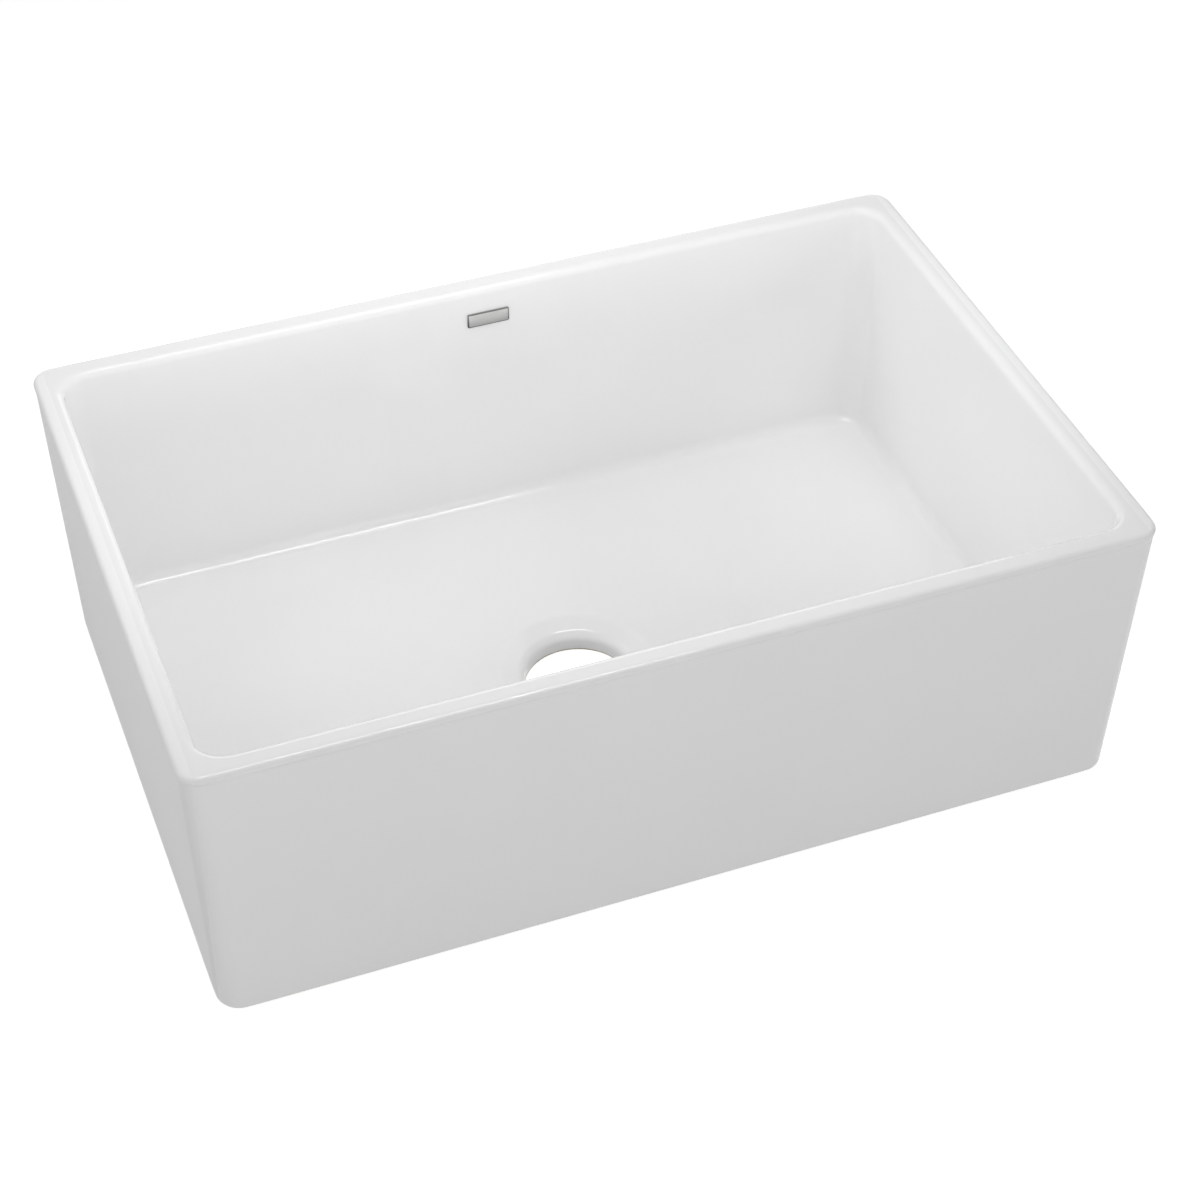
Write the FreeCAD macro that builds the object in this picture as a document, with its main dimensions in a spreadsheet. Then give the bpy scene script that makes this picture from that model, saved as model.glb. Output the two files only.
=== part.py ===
import FreeCAD
import Part
import Sketcher
import math
import os

# Farmhouse apron front sink: one fired clay casting with a small metal plate glued in the bowl.
# Frame: +X along the apron, +Y to the back, +Z up, origin at the middle of the underside.

SIZES = [
    # the whole casting
    ("basin_length", 760.0, "left to right over the rim bead"),
    ("basin_depth", 500.0, "front to back over the rim bead"),
    ("basin_height", 255.0, "underside to rim top"),
    # apron and side walls
    ("wall_thickness", 19.0, "clay between apron face and bowl at the rim"),
    ("apron_draft", 1.6, "degrees that the outer walls lean in towards the underside"),
    ("shoulder_corner_radius", 16.5, "outer corner seen from above, under the rim bead"),
    ("foot_corner_radius", 20.0, "outer corner seen from above, at the underside"),
    ("foot_edge_radius", 4.0, "round between the walls and the underside"),
    # rim bead
    ("rim_overhang", 0.8, "how far the bead stands proud of the apron"),
    ("rim_bead_radius", 4.1, "round over the top and bottom of the bead"),
    ("rim_bead_flat", 0.2, "flat left between those two rounds"),
    ("rim_inner_radius", 6.0, "round from the rim top down into the bowl"),
    # bowl
    ("bowl_corner_radius", 22.0, "upright corners of the bowl"),
    ("bowl_floor_radius", 9.0, "round between bowl walls and floor"),
    ("floor_height", 26.0, "floor along the walls, above the underside"),
    ("floor_fall", 3.5, "drop of the floor from the walls to the strainer seat"),
    ("floor_margin", 1.0, "level strip along the walls before the fall starts"),
    # strainer seat and drain
    ("seat_radius", 65.0, "outer edge of the dished seat"),
    ("seat_border", 0.3, "level ring outside the seat's rounded edge"),
    ("ring_straight", 0.5, "half of the short straights in the outline of that ring"),
    ("seat_slope", 20.0, "degrees that the seat falls towards the throat"),
    ("seat_edge_radius", 14.0, "round over the outer edge of the seat"),
    ("throat_width", 5.5, "steeper ring between seat and bore, seen from above"),
    ("throat_slope", 40.0, "degrees that the throat falls towards the bore"),
    ("throat_edge_radius", 8.0, "round from the seat down into the throat"),
    ("bore_radius", 45.0, "drain bore for a basket strainer body"),
    ("bore_lip_radius", 7.0, "round from the throat into the bore"),
    ("bore_overrun", 1.0, "how far the cut for the bore runs past the underside"),
    # badge in the bowl
    ("badge_length", 37.0, "left to right"),
    ("badge_height", 13.6, "top to bottom"),
    ("badge_thickness", 1.8, "metal"),
    ("badge_corner_radius", 1.4, "corners of the plate"),
    ("badge_bevel", 0.8, "bevel round the front face"),
    ("badge_drop", 30.0, "rim top to the middle of the plate"),
    ("badge_offset", 4.7, "middle of the plate, right of the middle of the bowl"),
    ("pad_margin", 1.0, "how far the adhesive stays inside the plate's edge"),
    ("pad_thickness", 0.6, "adhesive"),
]

BEAD_HEIGHT = "(2 * sizes.rim_bead_radius + sizes.rim_bead_flat)"
SHOULDER_HEIGHT = "(sizes.basin_height - " + BEAD_HEIGHT + " / 2)"
SHOULDER_LENGTH = "(sizes.basin_length - 2 * sizes.rim_overhang)"
SHOULDER_DEPTH = "(sizes.basin_depth - 2 * sizes.rim_overhang)"
LEAN = "(" + SHOULDER_HEIGHT + " * tan(sizes.apron_draft * 1 deg))"
BOWL_LENGTH = "(" + SHOULDER_LENGTH + " - 2 * sizes.wall_thickness)"
BOWL_DEPTH = "(" + SHOULDER_DEPTH + " - 2 * sizes.wall_thickness)"
FLOOR_INSET = "(sizes.bowl_floor_radius + sizes.floor_margin)"
SEAT_TOP = "(sizes.floor_height - sizes.floor_fall)"
RIM_CORNER_RADIUS = "(sizes.shoulder_corner_radius + sizes.rim_overhang)"
SEAT_ROUND_REACH = "sizes.seat_edge_radius * tan(sizes.seat_slope * 0.5 deg)"
RING_RADIUS = "(sizes.seat_radius + " + SEAT_ROUND_REACH + " + sizes.seat_border)"
THROAT_RADIUS = "(sizes.bore_radius + sizes.throat_width)"
EDGE_TOLERANCE = 0.01


def make_sheet(doc):
    """One row per driving size, with its name as the cell's alias."""
    sheet = doc.addObject("Spreadsheet::Sheet", "sizes")
    for row, (name, value, note) in enumerate(SIZES, start=1):
        sheet.set("A%d" % row, name)
        sheet.set("B%d" % row, "%g" % value)
        sheet.set("C%d" % row, note)
        sheet.setAlias("B%d" % row, name)
    doc.recompute()
    return sheet


def add_body(doc, name):
    body = doc.addObject("PartDesign::Body", name)
    body.Label = name
    return body


def origin_feature(body, role):
    for feature in body.Origin.OriginFeatures:
        if feature.Role == role:
            return feature
    raise RuntimeError(role + " is missing")


def add_sketch(body, name, plane, height=None):
    """A sketch on one of the body's own planes, raised along the plane's normal."""
    sketch = body.newObject("Sketcher::SketchObject", name)
    sketch.AttachmentSupport = [(origin_feature(body, plane), "")]
    sketch.MapMode = "FlatFace"
    if height is not None:
        sketch.setExpression("AttachmentOffset.Base.z", height)
    return sketch


def bind_constraint(sketch, name, constraint, expression):
    """Add a named constraint whose value follows an expression."""
    index = sketch.addConstraint(constraint)
    sketch.renameConstraint(index, name)
    sketch.setExpression("Constraints." + name, expression)


def rounded_rectangle(sketch, length, depth, radius):
    """A rectangle about the sketch's origin with four equal round corners."""
    half_x, half_y, corner = 60.0, 40.0, 10.0      # starting guess, replaced by the sizes
    along_x = half_x - corner
    along_y = half_y - corner
    turns = [
        (along_x, along_y, 0),
        (-along_x, along_y, 1),
        (-along_x, -along_y, 2),
        (along_x, -along_y, 3),
    ]
    lines = [
        ((half_x, -along_y), (half_x, along_y)),
        ((along_x, half_y), (-along_x, half_y)),
        ((-half_x, along_y), (-half_x, -along_y)),
        ((-along_x, -half_y), (along_x, -half_y)),
    ]
    for index in range(4):
        (x_start, y_start), (x_end, y_end) = lines[index]
        start = FreeCAD.Vector(x_start, y_start, 0)
        end = FreeCAD.Vector(x_end, y_end, 0)
        sketch.addGeometry(Part.LineSegment(start, end), False)
        x_centre, y_centre, quarter = turns[index]
        circle = Part.Circle(FreeCAD.Vector(x_centre, y_centre, 0), FreeCAD.Vector(0, 0, 1), corner)
        begin = quarter * math.pi / 2
        sketch.addGeometry(Part.ArcOfCircle(circle, begin, begin + math.pi / 2), False)
    for index in range(4):
        line = 2 * index
        arc = line + 1
        following = (line + 2) % 8
        sketch.addConstraint(Sketcher.Constraint("Tangent", line, 2, arc, 1))
        sketch.addConstraint(Sketcher.Constraint("Tangent", arc, 2, following, 1))
    sketch.addConstraint(Sketcher.Constraint("Vertical", 0))
    sketch.addConstraint(Sketcher.Constraint("Horizontal", 2))
    sketch.addConstraint(Sketcher.Constraint("Vertical", 4))
    sketch.addConstraint(Sketcher.Constraint("Horizontal", 6))
    for other in (3, 5, 7):
        sketch.addConstraint(Sketcher.Constraint("Equal", 1, other))
    sketch.addConstraint(Sketcher.Constraint("Symmetric", 1, 3, 5, 3, -1, 1))
    named = [
        ("length", Sketcher.Constraint("DistanceX", 4, 1, 0, 1, 2 * half_x), length),
        ("depth", Sketcher.Constraint("DistanceY", 6, 1, 2, 1, 2 * half_y), depth),
        ("radius", Sketcher.Constraint("Radius", 1, corner), radius),
    ]
    for name, constraint, expression in named:
        bind_constraint(sketch, name, constraint, expression)


def edge_names(feature, wanted):
    """Names of the edges whose both ends and middle pass the test."""
    names = []
    for index, edge in enumerate(feature.Shape.Edges, start=1):
        middle = edge.valueAt((edge.FirstParameter + edge.LastParameter) / 2)
        points = [vertex.Point for vertex in edge.Vertexes] + [middle]
        if all(wanted(point) for point in points):
            names.append("Edge%d" % index)
    if not names:
        raise RuntimeError("no edge found on " + feature.Name)
    return names


def add_round(body, name, base, wanted, radius):
    """Fillet the edges of the last feature that pass the test."""
    body.Document.recompute()
    round_over = body.newObject("PartDesign::Fillet", name)
    round_over.Base = (base, edge_names(base, wanted))
    round_over.setExpression("Radius", radius)
    body.Document.recompute()
    return round_over


def near(value, target):
    return abs(value - target) < EDGE_TOLERANCE


def add_rim(body, sheet):
    """The slab that carries the bead: its outer edge is rounded above and below."""
    outline = add_sketch(body, "rim_outline", "XY_Plane", "sizes.basin_height - " + BEAD_HEIGHT)
    rounded_rectangle(outline, "sizes.basin_length", "sizes.basin_depth", RIM_CORNER_RADIUS)
    slab = body.newObject("PartDesign::Pad", "rim_slab")
    slab.Profile = outline
    slab.setExpression("Length", BEAD_HEIGHT)
    top = sheet.basin_height
    bottom = top - 2 * sheet.rim_bead_radius - sheet.rim_bead_flat
    add_round(body, "rim_bead", slab, lambda point: near(point.z, top) or near(point.z, bottom),
              "sizes.rim_bead_radius")


def add_walls(body):
    """Solid block under the rim, leaning in towards the underside, with a rounded foot."""
    foot = add_sketch(body, "foot_outline", "XY_Plane")
    rounded_rectangle(foot, SHOULDER_LENGTH + " - 2 * " + LEAN, SHOULDER_DEPTH + " - 2 * " + LEAN,
                      "sizes.foot_corner_radius")
    shoulder = add_sketch(body, "shoulder_outline", "XY_Plane", SHOULDER_HEIGHT)
    rounded_rectangle(shoulder, SHOULDER_LENGTH, SHOULDER_DEPTH, "sizes.shoulder_corner_radius")
    walls = body.newObject("PartDesign::AdditiveLoft", "apron_walls")
    walls.Profile = foot
    walls.Sections = [shoulder]
    walls.Ruled = True
    add_round(body, "foot_edge", walls, lambda point: near(point.z, 0), "sizes.foot_edge_radius")


def add_bowl(body, sheet):
    """The hollow with upright walls, and the round between walls and floor."""
    mouth = add_sketch(body, "bowl_outline", "XY_Plane", "sizes.basin_height")
    rounded_rectangle(mouth, BOWL_LENGTH, BOWL_DEPTH, "sizes.bowl_corner_radius")
    bowl = body.newObject("PartDesign::Pocket", "bowl")
    bowl.Profile = mouth
    bowl.setExpression("Length", "sizes.basin_height - sizes.floor_height")
    floor_level = sheet.floor_height
    add_round(body, "floor_round", bowl, lambda point: near(point.z, floor_level),
              "sizes.bowl_floor_radius")


def add_floor_fall(body):
    """The floor falls from a level strip along the walls to a level ring round the seat."""
    strip = add_sketch(body, "fall_outline", "XY_Plane", "sizes.floor_height")
    rounded_rectangle(strip, BOWL_LENGTH + " - 2 * " + FLOOR_INSET, BOWL_DEPTH + " - 2 * " + FLOOR_INSET,
                      "sizes.bowl_corner_radius - " + FLOOR_INSET)
    ring = add_sketch(body, "ring_outline", "XY_Plane", SEAT_TOP)
    rounded_rectangle(ring, "2 * " + RING_RADIUS, "2 * " + RING_RADIUS,
                      RING_RADIUS + " - sizes.ring_straight")
    fall = body.newObject("PartDesign::SubtractiveLoft", "floor_slopes")
    fall.Profile = strip
    fall.Sections = [ring]
    fall.Ruled = True


def throat_corner(sheet):
    """Where the seat's slope meets the throat's: radius and height."""
    radius = sheet.bore_radius + sheet.throat_width
    seat_top = sheet.floor_height - sheet.floor_fall
    return radius, seat_top - (sheet.seat_radius - radius) * math.tan(math.radians(sheet.seat_slope))


def drain_profile(body, sheet):
    """Half section of the cut: bore, rounded lip, throat, seat, and the open space above."""
    steep = math.radians(sheet.throat_slope)
    seat_top = sheet.floor_height - sheet.floor_fall
    throat, throat_z = throat_corner(sheet)
    lip = sheet.bore_lip_radius
    bore = sheet.bore_radius
    seat = sheet.seat_radius
    reach = sheet.bore_overrun
    lip_x = bore + lip * (1 - math.sin(steep))
    lip_z = throat_z - (throat - lip_x) * math.tan(steep)
    centre_z = lip_z - lip * math.cos(steep)
    path = [(0, -reach), (bore, -reach), (bore, centre_z), (lip_x, lip_z), (throat, throat_z),
            (seat, seat_top), (seat, sheet.floor_height), (0, sheet.floor_height)]
    sketch = add_sketch(body, "drain_profile", "XZ_Plane")
    points = [FreeCAD.Vector(x, z, 0) for x, z in path]
    circle = Part.Circle(FreeCAD.Vector(bore + lip, centre_z, 0), FreeCAD.Vector(0, 0, 1), lip)
    arc = Part.ArcOfCircle(circle, math.pi / 2 + steep, math.pi)
    pieces = [Part.LineSegment(points[0], points[1]), Part.LineSegment(points[1], points[2]), arc]
    pieces += [Part.LineSegment(points[k], points[k + 1]) for k in (3, 4, 5, 6)]
    pieces.append(Part.LineSegment(points[7], points[0]))
    for piece in pieces:
        sketch.addGeometry(piece, False)
    base, wall, lip_arc, throat_line, seat_line, side, cover, axis = range(8)
    links = [
        ("Coincident", base, 2, wall, 1),
        ("Tangent", wall, 2, lip_arc, 2),
        ("Tangent", lip_arc, 1, throat_line, 1),
        ("Coincident", throat_line, 2, seat_line, 1),
        ("Coincident", seat_line, 2, side, 1),
        ("Coincident", side, 2, cover, 1),
        ("Coincident", cover, 2, axis, 1),
        ("Coincident", axis, 2, base, 1),
        ("Horizontal", base),
        ("Horizontal", cover),
        ("Vertical", wall),
        ("Vertical", side),
        ("PointOnObject", axis, 1, -2),
        ("PointOnObject", axis, 2, -2),
    ]
    for link in links:
        sketch.addConstraint(Sketcher.Constraint(*link))
    slope = math.radians(sheet.seat_slope)
    top = sheet.floor_height
    named = [
        ("bore", Sketcher.Constraint("DistanceX", -1, 1, wall, 1, bore), "sizes.bore_radius"),
        ("overrun", Sketcher.Constraint("DistanceY", wall, 1, -1, 1, reach), "sizes.bore_overrun"),
        ("lip", Sketcher.Constraint("Radius", lip_arc, lip), "sizes.bore_lip_radius"),
        ("steep", Sketcher.Constraint("Angle", throat_line, steep), "sizes.throat_slope * 1 deg"),
        ("throat", Sketcher.Constraint("DistanceX", -1, 1, seat_line, 1, throat), THROAT_RADIUS),
        ("slope", Sketcher.Constraint("Angle", seat_line, slope), "sizes.seat_slope * 1 deg"),
        ("seat", Sketcher.Constraint("DistanceX", -1, 1, side, 1, seat), "sizes.seat_radius"),
        ("seat_top", Sketcher.Constraint("DistanceY", -1, 1, side, 1, seat_top), SEAT_TOP),
        ("cover", Sketcher.Constraint("DistanceY", -1, 1, side, 2, top), "sizes.floor_height"),
    ]
    for name, constraint, expression in named:
        bind_constraint(sketch, name, constraint, expression)
    return sketch


def add_drain(body, sheet):
    """The dished strainer seat, its throat and the bore, turned about the upright axis."""
    groove = body.newObject("PartDesign::Groove", "drain")
    groove.Profile = drain_profile(body, sheet)
    groove.ReferenceAxis = (groove.Profile[0], ["V_Axis"])
    groove.Angle = 360
    body.Document.recompute()
    before = groove.BaseFeature.Shape.Volume
    if groove.Shape.Volume >= before:
        raise RuntimeError("the drain cuts nothing")
    throat, throat_z = throat_corner(sheet)
    seat_top = sheet.floor_height - sheet.floor_fall
    seat = sheet.seat_radius

    def on_throat_edge(point):
        return near(point.z, throat_z) and near(math.hypot(point.x, point.y), throat)

    def on_seat_edge(point):
        return near(point.z, seat_top) and near(math.hypot(point.x, point.y), seat)

    throat_edge = add_round(body, "throat_edge", groove, on_throat_edge, "sizes.throat_edge_radius")
    return add_round(body, "seat_edge", throat_edge, on_seat_edge, "sizes.seat_edge_radius")


def add_basin(doc, sheet):
    """The one-piece clay casting."""
    body = add_body(doc, "basin")
    add_rim(body, sheet)
    add_walls(body)
    add_bowl(body, sheet)
    add_floor_fall(body)
    seat_edge = add_drain(body, sheet)
    top = sheet.basin_height
    rim_width = sheet.rim_overhang + sheet.wall_thickness
    inner_x = sheet.basin_length / 2 - rim_width + EDGE_TOLERANCE
    inner_y = sheet.basin_depth / 2 - rim_width + EDGE_TOLERANCE

    def on_bowl_mouth(point):
        return near(point.z, top) and abs(point.x) < inner_x and abs(point.y) < inner_y

    add_round(body, "rim_inner_edge", seat_edge, on_bowl_mouth, "sizes.rim_inner_radius")
    return body


def add_badge_part(doc, name, length, height, corner, thickness, wall_gap):
    """A flat piece on the bowl's back wall, facing the front."""
    body = add_body(doc, name)
    outline = add_sketch(body, name + "_outline", "XZ_Plane")
    rounded_rectangle(outline, length, height, corner)
    slab = body.newObject("PartDesign::Pad", name + "_slab")
    slab.Profile = outline
    slab.setExpression("Length", thickness)
    body.setExpression("Placement.Base.x", "sizes.badge_offset")
    body.setExpression("Placement.Base.y", BOWL_DEPTH + " / 2 - " + wall_gap)
    body.setExpression("Placement.Base.z", "sizes.basin_height - sizes.badge_drop")
    doc.recompute()
    return body, slab


def add_badge(doc, sheet):
    """Bevelled metal plate, and the adhesive pad between it and the glaze."""
    add_badge_part(doc, "badge_pad", "sizes.badge_length - 2 * sizes.pad_margin",
                   "sizes.badge_height - 2 * sizes.pad_margin", "sizes.badge_corner_radius",
                   "sizes.pad_thickness", "0")
    plate, slab = add_badge_part(doc, "badge_plate", "sizes.badge_length", "sizes.badge_height",
                                 "sizes.badge_corner_radius", "sizes.badge_thickness",
                                 "sizes.pad_thickness")
    front = -sheet.badge_thickness
    bevel = plate.newObject("PartDesign::Chamfer", "badge_bevel")
    bevel.Base = (slab, edge_names(slab, lambda point: near(point.y, front)))
    bevel.setExpression("Size", "sizes.badge_bevel")
    doc.recompute()


def check_objects(doc):
    """Stop if any object failed to build."""
    for item in doc.Objects:
        if "Invalid" in item.State or "Error" in item.State:
            raise RuntimeError(item.Name + " failed: " + ", ".join(item.State))
        if item.TypeId == "Sketcher::SketchObject" and not item.FullyConstrained:
            raise RuntimeError(item.Name + " has a loose size")


def export_parts(doc):
    """One STEP file for each sub-part, named after it."""
    os.makedirs("parts", exist_ok=True)
    bodies = [item for item in doc.Objects if item.TypeId == "PartDesign::Body"]
    for body in bodies:
        if body.Shape.isNull() or not body.Shape.isValid():
            raise RuntimeError(body.Label + " has no valid shape")
    for body in bodies:
        body.Shape.exportStep("parts/" + body.Label + ".step")
        print("%s: %d solid, %.0f mm3" % (body.Label, len(body.Shape.Solids), body.Shape.Volume))


def main():
    doc = FreeCAD.newDocument("apron_sink")
    sheet = make_sheet(doc)
    add_basin(doc, sheet)
    add_badge(doc, sheet)
    doc.recompute()
    check_objects(doc)
    export_parts(doc)


main()
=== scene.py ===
import math

import bmesh
import bpy
from mathutils import Matrix, Vector


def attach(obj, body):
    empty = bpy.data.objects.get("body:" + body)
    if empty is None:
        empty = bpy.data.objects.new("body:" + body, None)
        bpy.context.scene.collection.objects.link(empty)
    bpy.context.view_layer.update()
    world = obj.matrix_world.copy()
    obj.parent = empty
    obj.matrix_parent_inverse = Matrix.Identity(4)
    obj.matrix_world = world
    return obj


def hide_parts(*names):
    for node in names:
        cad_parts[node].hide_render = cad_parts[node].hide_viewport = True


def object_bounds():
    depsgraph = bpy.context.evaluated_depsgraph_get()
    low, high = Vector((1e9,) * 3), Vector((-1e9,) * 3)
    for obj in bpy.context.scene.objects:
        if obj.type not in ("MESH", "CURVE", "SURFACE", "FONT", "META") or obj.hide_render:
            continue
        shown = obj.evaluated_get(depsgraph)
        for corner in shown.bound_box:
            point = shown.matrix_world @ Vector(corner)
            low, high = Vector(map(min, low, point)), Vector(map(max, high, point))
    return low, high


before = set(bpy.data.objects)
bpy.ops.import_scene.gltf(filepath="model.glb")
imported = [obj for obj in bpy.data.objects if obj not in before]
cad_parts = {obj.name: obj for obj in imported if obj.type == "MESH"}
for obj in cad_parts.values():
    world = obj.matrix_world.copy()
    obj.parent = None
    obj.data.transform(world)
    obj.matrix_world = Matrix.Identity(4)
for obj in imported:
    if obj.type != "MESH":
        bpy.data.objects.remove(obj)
cadBox = [list(corner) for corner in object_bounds()]
mm = 0.001
print("frame loaded:", sorted(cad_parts))


# ---- shared helpers

def linear(hexColour):          # sRGB hex to the linear colour that a socket takes
    channels = [int(hexColour[i:i + 2], 16) / 255 for i in (1, 3, 5)]
    return [c / 12.92 if c <= 0.04045 else ((c + 0.055) / 1.055) ** 2.4 for c in channels] + [1.0]


def addNode(tree, kind, settings=None, **links):          # links: input = a value or another node's output
    node = tree.nodes.new(kind)
    for name, value in (settings or {}).items():
        setattr(node, name, value)
    for name, value in links.items():
        socket = node.inputs[int(name[1:])] if name[0] == "_" else node.inputs[name.replace("_", " ")]
        if isinstance(value, bpy.types.NodeSocket):
            tree.links.new(value, socket)
        else:
            socket.default_value = value
    return node


def newMaterial(name):
    material = bpy.data.materials.new(name)
    material.use_nodes = True
    tree = material.node_tree
    tree.nodes.clear()
    output = tree.nodes.new("ShaderNodeOutputMaterial")
    place = tree.nodes.new("ShaderNodeTexCoord").outputs["Object"]
    return material, tree, output, place


def newPiece(name, bm, material, smooth=True):
    mesh = bpy.data.meshes.new(name)
    bm.to_mesh(mesh)
    bm.free()
    mesh.materials.append(material)
    mesh.polygons.foreach_set("use_smooth", [smooth] * len(mesh.polygons))
    piece = bpy.data.objects.new(name, mesh)
    bpy.context.scene.collection.objects.link(piece)
    return piece


# ---- camera

camera = {
    "spot": (-0.566324, -1.547074, 1.563062),
    "azimuth": -20.742,
    "elevation": 41.672,
    "roll": 0.094,
    "lens": 80.70,
    "sensor": 36.0,
}


def makeCamera():
    azimuth, elevation, roll = (math.radians(camera[k]) for k in ("azimuth", "elevation", "roll"))
    back = Vector((math.sin(azimuth) * math.cos(elevation), -math.cos(azimuth) * math.cos(elevation),
                   math.sin(elevation)))
    right = Vector((math.cos(azimuth), math.sin(azimuth), 0))
    up = back.cross(right)
    turnedRight = right * math.cos(roll) + up * math.sin(roll)
    turnedUp = up * math.cos(roll) - right * math.sin(roll)
    data = bpy.data.cameras.new("photoCamera")
    data.lens = camera["lens"]
    data.sensor_width = camera["sensor"]
    eye = bpy.data.objects.new("photoCamera", data)
    turn = Matrix((turnedRight, turnedUp, back)).transposed().to_4x4()
    eye.matrix_world = Matrix.Translation(camera["spot"]) @ turn
    bpy.context.scene.collection.objects.link(eye)
    bpy.context.scene.camera = eye


makeCamera()
print("camera placed")


# ---- studio: soft boxes that light the sink, strips that it mirrors, pale floor

studio = {
    "surround": "#FFFFFF", "surroundStrength": 0.1,          # what falls on the sink from all round
    "backdrop": "#FFFFFF", "ceiling": "#969696",          # what the glaze and the badge mirror
    "backdropTop": (0.78, 0.88),          # sine of the height angle where the white backdrop gives way
    "backdropSide": (-0.1, 0.2),          # and how far behind the sink it starts, as a sine too
    "floorColour": "#B3B3B2", "floorSize": 12.0,
    "floorGlow": 0.82,          # seen by the eye only, so that the floor is as white as the background
}
lamps = {          # metres and watts; soft boxes light the sink, shine strips only show as lines in the glaze
    "topBox": {"spot": (0.0, 0.05, 0.7), "size": (0.9, 0.3), "power": 1.84, "aim": (0, 0.05, 0.1)},
    "frontBox": {"spot": (0.0, -2.073, 1.498), "size": (1.6, 0.9), "power": 9.8},
    "frontWideBox": {"spot": (0.0, -2.717, 0.777), "size": (4.2, 1.0), "power": 5.2},
    "frontLowBox": {"spot": (0.0, -2.4, 0.35), "size": (4.0, 0.5), "power": 11.6},
    "frontLeftBox": {"spot": (-1.430, -1.430, 1.569), "size": (1.4, 1.0), "power": 4.3},
    "leftBox": {"spot": (-2.411, 0.0, 1.074), "size": (1.8, 1.2), "power": 8.0},
    "rightBox": {"spot": (2.0, 0.0, 1.2), "size": (3.0, 0.5), "power": 10.5},
    "backLowBox": {"spot": (0.0, 1.13, 0.67), "size": (2.4, 0.25), "power": 2.7},
    "backHighBox": {"spot": (-1.264, 0.885, 1.939), "size": (1.4, 1.0), "power": 7.3},
    "overheadStrip": {"spot": (0.075, -0.1, 2.6), "size": (1.4, 0.28), "power": 18.0, "turn": -20.7,
                      "shine": True},
    "backStrip": {"spot": (0.65, 2.72, 1.38), "size": (1.9, 0.7), "power": 8.5, "shine": True},
}
lampAim = (0, 0, 0.15)


def seenByEye(tree):          # 1 for rays from the camera, in mirrors and through glass
    path = addNode(tree, "ShaderNodeLightPath")
    both = addNode(tree, "ShaderNodeMath", {"operation": "ADD", "use_clamp": True},
                   _0=path.outputs["Is Camera Ray"], _1=path.outputs["Is Glossy Ray"])
    return addNode(tree, "ShaderNodeMath", {"operation": "ADD", "use_clamp": True},
                   _0=both.outputs[0], _1=path.outputs["Is Transmission Ray"]).outputs[0]


def makeWorld():
    world = bpy.data.worlds.new("whiteRoom")
    bpy.context.scene.world = world
    world.use_nodes = True
    tree = world.node_tree
    tree.nodes.clear()
    room = addNode(tree, "ShaderNodeBackground", Color=linear(studio["surround"]),
                   Strength=studio["surroundStrength"])
    ray = tree.nodes.new("ShaderNodeTexCoord").outputs["Generated"]
    way = addNode(tree, "ShaderNodeSeparateXYZ", Vector=ray)
    low, high = studio["backdropTop"]
    under = addNode(tree, "ShaderNodeMapRange", {"interpolation_type": "SMOOTHSTEP"}, Value=way.outputs["Z"],
                    From_Min=high, From_Max=low)
    low, high = studio["backdropSide"]
    behind = addNode(tree, "ShaderNodeMapRange", {"interpolation_type": "SMOOTHSTEP"}, Value=way.outputs["Y"],
                     From_Min=low, From_Max=high)
    share = addNode(tree, "ShaderNodeMath", {"operation": "MULTIPLY"}, _0=under.outputs[0],
                    _1=behind.outputs[0])
    eye = addNode(tree, "ShaderNodeLightPath").outputs["Is Camera Ray"]
    white = addNode(tree, "ShaderNodeMath", {"operation": "MAXIMUM"}, _0=share.outputs[0], _1=eye)
    tone = addNode(tree, "ShaderNodeMix", {"data_type": "RGBA"}, _0=white.outputs[0],
                   _6=linear(studio["ceiling"]), _7=linear(studio["backdrop"]))
    shown = addNode(tree, "ShaderNodeBackground", Color=tone.outputs[2], Strength=1.0)
    mix = addNode(tree, "ShaderNodeMixShader", _0=seenByEye(tree), _1=room.outputs[0], _2=shown.outputs[0])
    addNode(tree, "ShaderNodeOutputWorld", Surface=mix.outputs[0])


def makeFloor():
    material, tree, output, place = newMaterial("paintedFloor")
    paint = addNode(tree, "ShaderNodeBsdfDiffuse", Color=linear(studio["floorColour"]))
    glow = addNode(tree, "ShaderNodeEmission", Color=linear("#FFFFFF"), Strength=studio["floorGlow"])
    both = addNode(tree, "ShaderNodeAddShader", _0=paint.outputs[0], _1=glow.outputs[0])
    seen = addNode(tree, "ShaderNodeMixShader", _0=seenByEye(tree), _1=paint.outputs[0], _2=both.outputs[0])
    tree.links.new(seen.outputs[0], output.inputs["Surface"])
    bm = bmesh.new()
    bmesh.ops.create_grid(bm, x_segments=1, y_segments=1, size=studio["floorSize"] / 2)
    bmesh.ops.translate(bm, verts=bm.verts, vec=(0, 0, cadBox[0][2]))
    floor = newPiece("studioFloor", bm, material, smooth=False)


def makeLamps():
    for name, lamp in lamps.items():
        data = bpy.data.lights.new(name, "AREA")
        data.shape = "RECTANGLE"
        data.size, data.size_y = lamp["size"]
        data.energy = lamp["power"]
        box = bpy.data.objects.new(name, data)
        box.location = lamp["spot"]
        box.rotation_mode = "QUATERNION"
        if "turn" in lamp:          # hangs level, turned about the vertical
            box.rotation_quaternion = Matrix.Rotation(math.radians(lamp["turn"]), 4, "Z").to_quaternion()
        else:
            aim = Vector(lamp.get("aim", lampAim)) - Vector(lamp["spot"])
            box.rotation_quaternion = aim.to_track_quat("-Z", "Y")
        shine = lamp.get("shine", False)
        box.visible_glossy = shine
        box.visible_diffuse = not shine
        box.visible_camera = False
        bpy.context.scene.collection.objects.link(box)


makeWorld()
makeFloor()
makeLamps()
bpy.context.scene.view_settings.view_transform = "Standard"
print("studio lit")


# ---- basin: one fired clay casting, drawn as rings that climb the apron and go down to the drain

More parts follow.
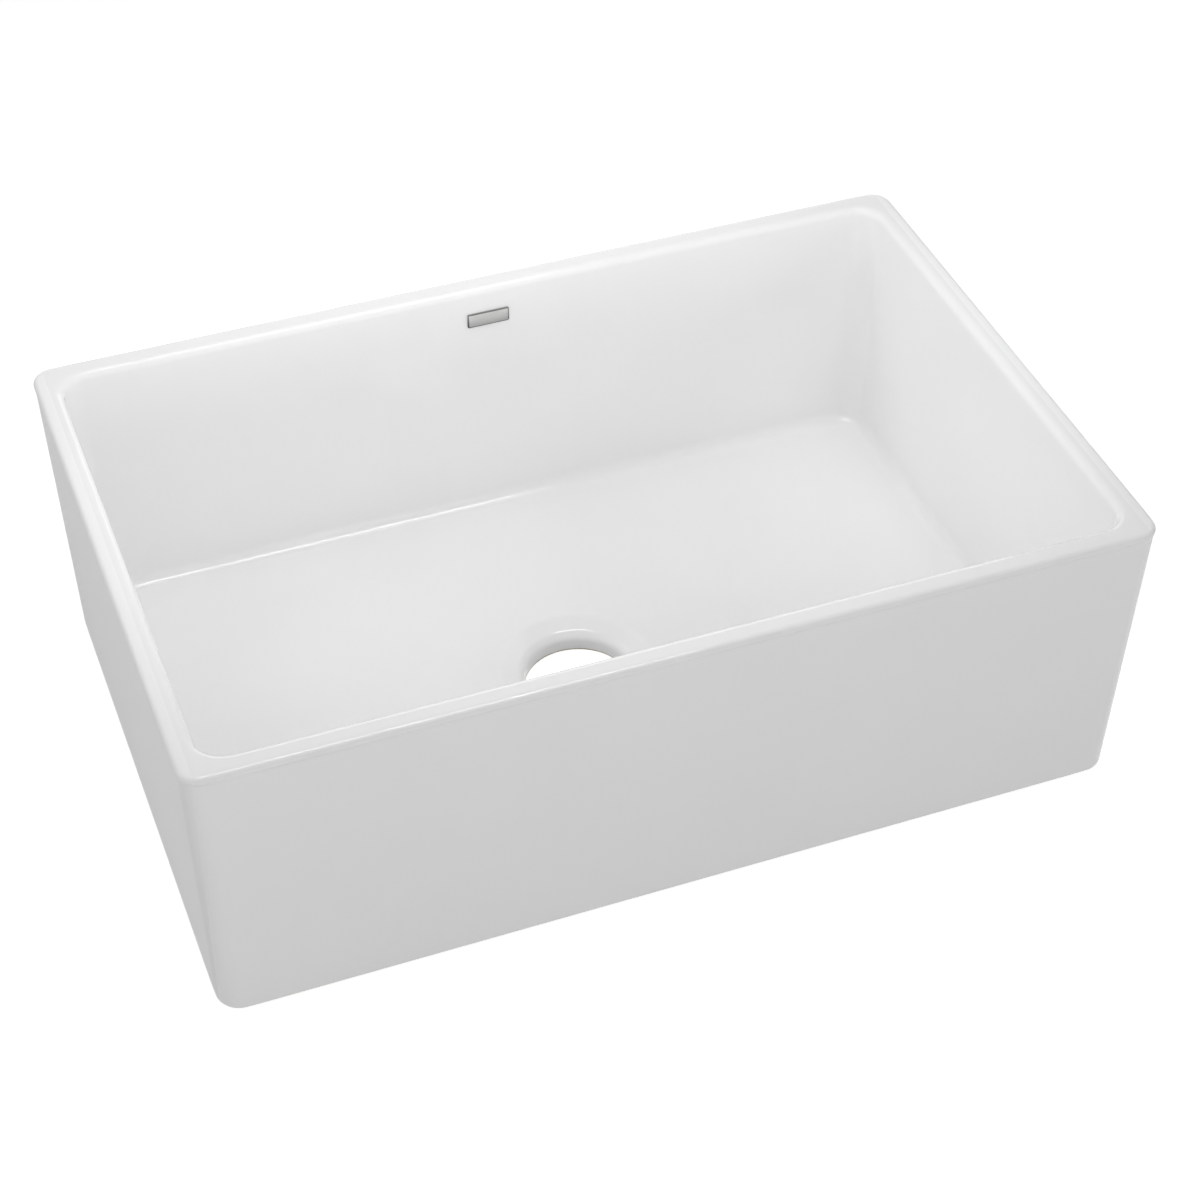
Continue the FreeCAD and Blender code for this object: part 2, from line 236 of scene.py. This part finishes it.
basin = {          # millimetres
    "halfLength": 380.0, "halfDepth": 250.0, "height": 255.0,
    "draft": 1.6,          # degrees that the outer walls lean in towards the foot
    "overhang": 0.8,          # bead in front of the apron
    "shoulderCorner": 16.5, "footCorner": 20.0, "footRound": 4.0,
    "beadRound": 4.1, "beadFlat": 0.2, "innerRound": 6.0,
    "wall": 19.0, "bowlCorner": 22.0, "floorRound": 9.0,
    "floorHeight": 26.0, "floorFall": 3.5,
    "seatRadius": 65.0, "seatSlope": 20.0, "seatRound": 14.0,
    "throatRadius": 50.5, "throatSlope": 40.0, "throatRound": 8.0,
    "boreRadius": 45.0, "lipRound": 7.0, "boreEdge": 0.5,
    "apronHeights": (5.0, 60.0, 125.0, 190.0, 243.0, 247.2),          # rings up the outside, to the crease
    "creaseAngle": 218.0,          # where the bead's round turns back onto the apron
    "wallHeights": (190.0, 120.0, 60.0),          # rings down the bowl
    "footInset": 9.0,          # first ring of the underside, in from the foot
    "hold": 0.6,          # extra ring beside a round, so that smoothing leaves the flats flat
    "cornerSteps": 6, "longSteps": 18, "shortSteps": 10,          # edges in each stretch of a ring
    "arcSteps": 4,          # edges in each quarter of a round
    "floorRings": 8, "floorEasing": 30,          # rings from wall to drain, and rounds of smoothing
    "undersideShares": (0.25, 0.6, 1.0),          # rings from the drain back out to the foot
    "smoothLevels": 2,
}


def ringSpots(halfX, halfY, corner):          # one turn of a rounded rectangle, counterclockwise
    spots = []
    steps = (basin["longSteps"], basin["shortSteps"]) * 2
    for quarter in range(4):
        signX, signY = ((1, 1), (-1, 1), (-1, -1), (1, -1))[quarter]
        centreX, centreY = signX * (halfX - corner), signY * (halfY - corner)
        for step in range(basin["cornerSteps"]):
            angle = math.pi / 2 * (quarter + step / basin["cornerSteps"])
            spots.append(Vector((centreX + corner * math.cos(angle), centreY + corner * math.sin(angle))))
        angle = math.pi / 2 * (quarter + 1)
        start = Vector((centreX + corner * math.cos(angle), centreY + corner * math.sin(angle)))
        nextX, nextY = ((-1, 1), (-1, -1), (1, -1), (1, 1))[quarter]
        end = Vector((nextX * (halfX - corner) + corner * math.cos(angle),
                      nextY * (halfY - corner) + corner * math.sin(angle)))
        spots += [start.lerp(end, step / steps[quarter]) for step in range(steps[quarter])]
    return spots


def circleSpots(radius):          # the same number of points, evenly round a circle
    count = 4 * basin["cornerSteps"] + 2 * (basin["longSteps"] + basin["shortSteps"])
    angles = [2 * math.pi * (k + basin["shortSteps"] / 2) / count for k in range(count)]
    return [Vector((radius * math.cos(a), radius * math.sin(a))) for a in angles]


def arc(centre, radius, first, last, steps):          # section points from one angle to another, in degrees
    angles = [math.radians(first + (last - first) * k / steps) for k in range(steps + 1)]
    return [(centre[0] + radius * math.cos(a), centre[1] + radius * math.sin(a)) for a in angles]


def outsideRings():          # foot, apron and bead: (half length, half depth, corner, height)
    b = basin
    beadLow = b["height"] - b["beadRound"] - b["beadFlat"]
    shoulder = b["height"] - b["beadRound"] - b["beadFlat"] / 2
    lean = math.tan(math.radians(b["draft"]))

    def wallRing(height, inset=0.0):
        back = (shoulder - height) * lean + b["overhang"] + inset
        wider = (b["footCorner"] - b["shoulderCorner"]) * (1 - height / shoulder)
        corner = b["shoulderCorner"] + wider - inset
        return b["halfLength"] - back, b["halfDepth"] - back, corner, height

    rings = [wallRing(0, inset) for inset in (b["footInset"], b["footRound"] + b["hold"])]
    for x, z in arc((b["footRound"], b["footRound"]), b["footRound"], 270, 180, b["arcSteps"]):
        back = (shoulder - b["footRound"]) * lean + b["overhang"] + x
        rings.append((b["halfLength"] - back, b["halfDepth"] - back, b["footCorner"] - x, z))
    rings += [wallRing(height) for height in b["apronHeights"]]
    for x, z in arc((b["beadRound"], beadLow), b["beadRound"], b["creaseAngle"], 180, 2):
        rings.append((b["halfLength"] - x, b["halfDepth"] - x, b["shoulderCorner"] + b["overhang"] - x, z))
    for x, z in arc((b["beadRound"], beadLow + b["beadFlat"]), b["beadRound"], 180, 90, b["arcSteps"]):
        rings.append((b["halfLength"] - x, b["halfDepth"] - x, b["shoulderCorner"] + b["overhang"] - x, z))
    return rings


def insideRings():          # rim top, bowl walls and the round at the floor
    b = basin
    rim = b["overhang"] + b["wall"]
    innerTop = rim - b["innerRound"]
    rings = []

    def bowlRing(x, z):
        rings.append((b["halfLength"] - x, b["halfDepth"] - x, b["bowlCorner"] + rim - x, z))

    edge = b["beadRound"] + b["hold"]
    rings.append((b["halfLength"] - edge, b["halfDepth"] - edge,
                  b["shoulderCorner"] + b["overhang"] - edge, b["height"]))
    bowlRing(innerTop - b["hold"], b["height"])
    for x, z in arc((innerTop, b["height"] - b["innerRound"]), b["innerRound"], 90, 0, b["arcSteps"]):
        bowlRing(x, z)
    floorTop = b["floorHeight"] + b["floorRound"]
    for z in (b["height"] - b["innerRound"] - 2 * b["hold"], *b["wallHeights"], floorTop + 2 * b["hold"]):
        bowlRing(rim, z)
    for x, z in arc((rim + b["floorRound"], floorTop), b["floorRound"], 180, 270, b["arcSteps"]):
        bowlRing(x, z)
    bowlRing(rim + b["floorRound"] + b["hold"], b["floorHeight"])
    return rings


def roundedTurn(corner, radius, before, after, steps):          # section points where two slopes meet
    reach = radius * math.tan((after - before) / 2)
    start = (corner[0] + reach * math.cos(before), corner[1] + reach * math.sin(before))
    centre = (start[0] + radius * math.sin(before), start[1] - radius * math.cos(before))
    first, last = (90 + math.degrees(slope) for slope in (before, after))
    return arc(centre, radius, first, last, steps)


def drainRings():          # seat, throat, lip and bore: (radius, height)
    b = basin
    slope, steep = math.radians(b["seatSlope"]), math.radians(b["throatSlope"])
    seatTop = b["floorHeight"] - b["floorFall"]
    throatZ = seatTop - (b["seatRadius"] - b["throatRadius"]) * math.tan(slope)
    lipX = b["boreRadius"] + b["lipRound"] * (1 - math.sin(steep))
    lipZ = throatZ - (b["throatRadius"] - lipX) * math.tan(steep)
    lipCentre = (b["boreRadius"] + b["lipRound"], lipZ - b["lipRound"] * math.cos(steep))
    seat = roundedTurn((b["seatRadius"], seatTop), b["seatRound"], 0, slope, b["arcSteps"])
    seat.insert(0, (seat[0][0] + b["hold"], seatTop))
    seat.append(((b["seatRadius"] + b["throatRadius"]) / 2, (seatTop + throatZ) / 2))
    throat = roundedTurn((b["throatRadius"], throatZ), b["throatRound"], slope, steep, 2)
    lip = arc(lipCentre, b["lipRound"], 90 + b["throatSlope"], 180, b["arcSteps"])
    edge = b["boreEdge"]
    bore = [(b["boreRadius"], lipCentre[1] / 2), (b["boreRadius"], 2 * edge)]
    bore += arc((b["boreRadius"] + edge, edge), edge, 180, 270, 2)
    bore.append((b["boreRadius"] + 3 * edge, 0.0))
    return seat + throat + lip + bore


def makeBasin(material):
    bm = bmesh.new()
    count = len(circleSpots(1))
    bmesh.ops.create_circle(bm, segments=count, radius=1)
    spoke = bm.verts.layers.int.new("spoke")
    bm.verts.ensure_lookup_table()
    turn = 2 * math.pi / count
    for vert in bm.verts:
        vert[spoke] = round(math.atan2(vert.co.y, vert.co.x) / turn) % count
    edges = bm.edges[:]

    def place(verts, spots, height):
        for vert in verts:
            spot = spots[vert[spoke]]
            vert.co = Vector((spot.x, spot.y, height)) * mm

    def grow(spots, height):
        nonlocal edges
        made = bmesh.ops.extrude_edge_only(bm, edges=edges)["geom"]
        verts = [item for item in made if isinstance(item, bmesh.types.BMVert)]
        fresh = set(verts)
        edges = [item for item in made if isinstance(item, bmesh.types.BMEdge)
                 and item.verts[0] in fresh and item.verts[1] in fresh]
        place(verts, spots, height)
        return verts

    outside = outsideRings()
    first = outside[0]
    place(bm.verts, ringSpots(*first[:3]), first[3])
    for halfX, halfY, corner, height in outside[1:] + insideRings():
        grow(ringSpots(halfX, halfY, corner), height)
    wallSpots = ringSpots(halfX, halfY, corner)
    drain = drainRings()
    ring = circleSpots(drain[0][0])
    floorVerts = []
    for step in range(1, basin["floorRings"]):
        share = step / basin["floorRings"]
        spots = [a.lerp(c, share) for a, c in zip(wallSpots, ring)]
        floorVerts += grow(spots, basin["floorHeight"] + (drain[0][1] - basin["floorHeight"]) * share)
    for radius, height in drain:
        grow(circleSpots(radius), height)
    wide = ringSpots(*first[:3])
    for share in basin["undersideShares"]:          # bare underside, back out to the foot
        spots = [a.lerp(c, share) for a, c in zip(circleSpots(drain[-1][0]), wide)]
        grow(spots, 0.0)
    for easing in range(basin["floorEasing"]):          # takes the ridges out of the floor's fall
        bmesh.ops.smooth_vert(bm, verts=floorVerts, factor=0.5, use_axis_z=True)
    bmesh.ops.remove_doubles(bm, verts=bm.verts, dist=0.01 * mm)
    bmesh.ops.recalc_face_normals(bm, faces=bm.faces)
    piece = newPiece("basinCasting", bm, material)
    smooth = piece.modifiers.new("softened", "SUBSURF")
    smooth.levels = smooth.render_levels = basin["smoothLevels"]
    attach(piece, "root")
    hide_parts("basin")


glaze = {          # millimetres
    "white": "#FBFBFB", "deepWhite": "#F8F8F8", "toneSize": 90.0,          # drifts a little as it thickens
    "roughness": (0.035, 0.06), "sideRoughness": 0.5,
    "peelSize": 7.0, "peelHeight": 0.004,          # orange peel that a sprayed glaze keeps
    "waveSize": 120.0, "waveHeight": 0.05,          # the casting was never quite flat
    "coat": 0.35,          # glaze thickness, seen as a step where it ends
    "line": 1.3, "lineWander": 0.5, "lineSize": 14.0,          # glaze ends this far above the underside
    "clay": "#D8CCB6", "darkClay": "#C6B698", "clayPatch": 22.0,
    "grog": "#9C8463", "grogSize": 2.4, "grogShare": (0.28, 0.168),          # crushed brick in the clay
    "clayRoughness": 0.88, "clayGrain": 1.1, "clayGrainHeight": 0.09,
    "sideStart": 372.0, "sideFade": 4.0,          # satin on the two ends, a guess from the photo
    "ior": 1.5,
}


# Fireclay cast in a plaster mould, sprayed with opaque white glaze and fired once: a clean white with
# sharp small highlights, a hint of orange peel, and bare buff clay underneath where it stood in the kiln.
def glazedFireclay():
    g = glaze
    material, tree, output, place = newMaterial("glazedFireclay")

    def noise(size, detail=2.0):          # size of one patch in millimetres
        spots = addNode(tree, "ShaderNodeTexNoise", Vector=place, Scale=1 / (size * mm), Detail=detail)
        return spots.outputs["Fac"]

    axes = addNode(tree, "ShaderNodeSeparateXYZ", Vector=place)
    wander = addNode(tree, "ShaderNodeMath", {"operation": "MULTIPLY_ADD"},
                     _0=noise(g["lineSize"]), _1=2 * g["lineWander"] * mm,
                     _2=(g["line"] - g["lineWander"]) * mm)
    above = addNode(tree, "ShaderNodeMath", {"operation": "SUBTRACT"}, _0=axes.outputs["Z"],
                    _1=wander.outputs[0])
    coated = addNode(tree, "ShaderNodeMapRange", {"interpolation_type": "SMOOTHSTEP"}, Value=above.outputs[0],
                     From_Min=0.0, From_Max=g["coat"] * mm).outputs[0]

    white = addNode(tree, "ShaderNodeMix", {"data_type": "RGBA"}, _0=noise(g["toneSize"]),
                    _6=linear(g["white"]), _7=linear(g["deepWhite"])).outputs[2]
    clay = addNode(tree, "ShaderNodeMix", {"data_type": "RGBA"}, _0=noise(g["clayPatch"], 4.0),
                   _6=linear(g["clay"]), _7=linear(g["darkClay"])).outputs[2]
    grains = addNode(tree, "ShaderNodeTexVoronoi", Vector=place, Scale=1 / (g["grogSize"] * mm))
    speck = addNode(tree, "ShaderNodeMapRange", Value=grains.outputs["Distance"],
                    From_Min=g["grogShare"][0], From_Max=g["grogShare"][1]).outputs[0]
    speckled = addNode(tree, "ShaderNodeMix", {"data_type": "RGBA"}, _0=speck, _6=clay,
                       _7=linear(g["grog"])).outputs[2]
    colour = addNode(tree, "ShaderNodeMix", {"data_type": "RGBA"}, _0=coated, _6=speckled,
                     _7=white).outputs[2]

    gloss = addNode(tree, "ShaderNodeMapRange", Value=noise(g["toneSize"] / 2),
                    To_Min=g["roughness"][0], To_Max=g["roughness"][1]).outputs[0]
    outward = addNode(tree, "ShaderNodeMath", {"operation": "ABSOLUTE"}, _0=axes.outputs["X"]).outputs[0]
    hidden = addNode(tree, "ShaderNodeMapRange", {"interpolation_type": "SMOOTHSTEP"}, Value=outward,
                     From_Min=(g["sideStart"] - g["sideFade"]) * mm, From_Max=g["sideStart"] * mm).outputs[0]
    satin = addNode(tree, "ShaderNodeMix", {"data_type": "FLOAT"}, _0=hidden, _2=gloss, _3=g["sideRoughness"])
    rough = addNode(tree, "ShaderNodeMix", {"data_type": "FLOAT"}, _0=coated, _2=g["clayRoughness"],
                    _3=satin.outputs[0]).outputs[0]

    def scaled(value, height, base=0.0):          # heights in millimetres, added up
        return addNode(tree, "ShaderNodeMath", {"operation": "MULTIPLY_ADD"}, _0=value, _1=height,
                       _2=base).outputs[0]

    smooth = scaled(noise(g["waveSize"], 0.0), g["waveHeight"],
                    scaled(noise(g["peelSize"], 0.0), g["peelHeight"], g["coat"]))
    grain = scaled(noise(g["clayGrain"], 4.0), g["clayGrainHeight"])
    height = addNode(tree, "ShaderNodeMix", {"data_type": "FLOAT"}, _0=coated, _2=grain, _3=smooth).outputs[0]
    bump = addNode(tree, "ShaderNodeBump", Strength=1.0, Distance=mm, Height=height)
    coat = addNode(tree, "ShaderNodeBsdfPrincipled", Base_Color=colour, Roughness=rough,
                   Normal=bump.outputs[0], IOR=g["ior"])
    tree.links.new(coat.outputs[0], output.inputs["Surface"])
    return material


makeBasin(glazedFireclay())
print("basin made")


# ---- badge: a small plate on an adhesive pad, on the back wall

badge = {          # millimetres
    "centre": (4.7, 225.0), "wallFace": 230.2,
    "padHeight": 0.6, "padMargin": 1.0,
    "size": (37.0, 13.6), "thickness": 1.8, "corner": 1.4,
    "bevel": (1.1, 0.5),          # width and depth of the sloped border
    "crown": 0.8, "edgeRound": 0.12,
    "plateFold": 15, "padFold": 60,          # degrees at which an edge is sharp enough to be rounded
    "steps": (18, 8), "cornerSteps": 4, "edgeSteps": 2,
}


def plateBlank(size, corner):          # rounded rectangle standing upright, facing the front
    bm = bmesh.new()
    across, up = badge["steps"]
    bmesh.ops.create_grid(bm, x_segments=across, y_segments=up, size=0.5)
    bmesh.ops.scale(bm, verts=bm.verts, vec=(size[0] * mm, size[1] * mm, 1))
    corners = [vert for vert in bm.verts if len(vert.link_edges) == 2]
    bmesh.ops.bevel(bm, geom=corners, offset=corner * mm, offset_type="OFFSET", affect="VERTICES",
                    segments=badge["cornerSteps"], profile=0.5, material=-1)
    bmesh.ops.rotate(bm, verts=bm.verts, cent=(0, 0, 0), matrix=Matrix.Rotation(math.pi / 2, 3, "X"))
    return bm


def thicken(bm, depth):          # pushes a copy of the sheet forward and returns its faces
    made = bmesh.ops.extrude_face_region(bm, geom=bm.faces[:])["geom"]
    front = [item for item in made if isinstance(item, bmesh.types.BMFace)]
    verts = {vert for face in front for vert in face.verts}
    bmesh.ops.translate(bm, verts=list(verts), vec=(0, -depth * mm, 0))
    return front


def settle(bm, back):          # on the wall, at its own depth
    bmesh.ops.translate(bm, verts=bm.verts, vec=(badge["centre"][0] * mm, back * mm, badge["centre"][1] * mm))
    bmesh.ops.recalc_face_normals(bm, faces=bm.faces)


def roundEdges(bm, fold):
    bm.normal_update()
    sharp = [edge for edge in bm.edges if edge.calc_face_angle(0) > math.radians(fold)]
    bmesh.ops.bevel(bm, geom=sharp, offset=badge["edgeRound"] * mm, offset_type="OFFSET", affect="EDGES",
                    segments=badge["edgeSteps"], profile=0.5, material=-1, clamp_overlap=True)


def makePlate(face, border):
    b = badge
    bm = plateBlank(b["size"], b["corner"])
    front = thicken(bm, b["thickness"] - b["crown"] - b["bevel"][1])
    bmesh.ops.inset_region(bm, faces=front, thickness=b["bevel"][0] * mm, depth=0, use_even_offset=True,
                           use_boundary=True)
    for edgeFace in set(bm.faces) - set(front):
        edgeFace.material_index = 1
    halfX, halfZ = (b["size"][k] / 2 * mm - b["bevel"][0] * mm for k in (0, 1))
    for vert in {vert for face in front for vert in face.verts}:          # raised and slightly crowned
        crown = max(0.0, 1 - (vert.co.x / halfX) ** 2) ** 0.5 * max(0.0, 1 - (vert.co.z / halfZ) ** 2)
        vert.co.y -= (b["bevel"][1] + b["crown"] * crown) * mm
    roundEdges(bm, b["plateFold"])
    settle(bm, b["wallFace"] - b["padHeight"])
    piece = newPiece("badgePlate", bm, face)
    piece.data.materials.append(border)
    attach(piece, "root")
    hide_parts("badge_plate")


def makePad(material):
    b = badge
    bm = plateBlank([side - 2 * b["padMargin"] for side in b["size"]], b["corner"])
    thicken(bm, b["padHeight"])
    settle(bm, b["wallFace"])
    roundEdges(bm, b["padFold"])
    piece = newPiece("badgePad", bm, material)
    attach(piece, "root")
    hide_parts("badge_pad")


metal = {          # millimetres; each finish carries painted light, lighter at the top edge and darker at the bottom
    "brushed": {"paintedLitTop": "#FAFAF8", "paintedShadeBottom": "#AFAFAE", "roughness": (0.34, 0.46)},
    "paintedShadeBorder": {"paintedLitTop": "#AEAEAD", "paintedShadeBottom": "#40403F", "roughness": (0.28, 0.4)},
    "lineShare": 0.35,          # how much of the tone the brush lines carry
    "grainLength": 14.0, "grainPitch": 0.32, "grainHeight": 0.012,          # real lines are finer than this
}


# Nickel-silver sheet, domed and die cut: the face is brushed along its length and streaks softly,
# the border is coloured darker as a painted dark reflection. The painted grade, lighter at the top and darker
# below, is a guess from the photo.
def stampedMetal(name, finish):
    material, tree, output, place = newMaterial(name)
    m = metal
    stretched = addNode(tree, "ShaderNodeMapping", Vector=place,
                        Scale=(1 / (m["grainLength"] * mm), 1 / mm, 1 / (m["grainPitch"] * mm)))
    lines = addNode(tree, "ShaderNodeTexNoise", Vector=stretched.outputs[0], Scale=1.0,
                    Detail=3.0).outputs["Fac"]
    axes = addNode(tree, "ShaderNodeSeparateXYZ", Vector=place)
    middle, half = badge["centre"][1], badge["size"][1] / 2
    # painted light: the colour runs from dark at the bottom edge to light at the top edge, a painted
    # reflection of the light above and the shade below
    paintedLightGrade = addNode(tree, "ShaderNodeMapRange", Value=axes.outputs["Z"], From_Min=(middle - half) * mm,
                   From_Max=(middle + half) * mm, To_Min=-m["lineShare"] / 2, To_Max=1 - m["lineShare"] / 2)
    share = addNode(tree, "ShaderNodeMath", {"operation": "MULTIPLY_ADD", "use_clamp": True},
                    _0=lines, _1=m["lineShare"], _2=paintedLightGrade.outputs[0])
    tone = addNode(tree, "ShaderNodeMix", {"data_type": "RGBA"}, _0=share.outputs[0],
                   _6=linear(m[finish]["paintedShadeBottom"]), _7=linear(m[finish]["paintedLitTop"])).outputs[2]
    low, high = m[finish]["roughness"]
    rough = addNode(tree, "ShaderNodeMapRange", Value=lines, To_Min=low, To_Max=high)
    bump = addNode(tree, "ShaderNodeBump", Strength=1.0, Distance=m["grainHeight"] * mm, Height=lines)
    sheet = addNode(tree, "ShaderNodeBsdfPrincipled", Base_Color=tone, Metallic=1.0,
                    Roughness=rough.outputs[0], Normal=bump.outputs[0])
    tree.links.new(sheet.outputs[0], output.inputs["Surface"])
    return material


foam = {          # millimetres
    "colour": "#C9C9C4", "cellColour": "#A9A9A3", "cell": 0.35, "cellHeight": 0.05,
    "roughness": 0.8, "ior": 1.45,
}


# Closed-cell acrylic foam tape: pale grey, dull, with fine cells along its cut edge.
def foamTape():
    material, tree, output, place = newMaterial("acrylicFoamTape")
    cells = addNode(tree, "ShaderNodeTexVoronoi", Vector=place,
                    Scale=1 / (foam["cell"] * mm)).outputs["Distance"]
    tone = addNode(tree, "ShaderNodeMix", {"data_type": "RGBA"}, _0=cells,
                   _6=linear(foam["cellColour"]), _7=linear(foam["colour"])).outputs[2]
    bump = addNode(tree, "ShaderNodeBump", Strength=1.0, Distance=foam["cellHeight"] * mm, Height=cells)
    tape = addNode(tree, "ShaderNodeBsdfPrincipled", Base_Color=tone, Roughness=foam["roughness"],
                   Normal=bump.outputs[0], IOR=foam["ior"])
    tree.links.new(tape.outputs[0], output.inputs["Surface"])
    return material


# the border material is a painted dark reflection; both badge materials are painted lighter at the top and
# darker below
makePlate(stampedMetal("brushedNickelSilver", "brushed"), stampedMetal("borderWithPaintedShade", "paintedShadeBorder"))
makePad(foamTape())
print("badge made")
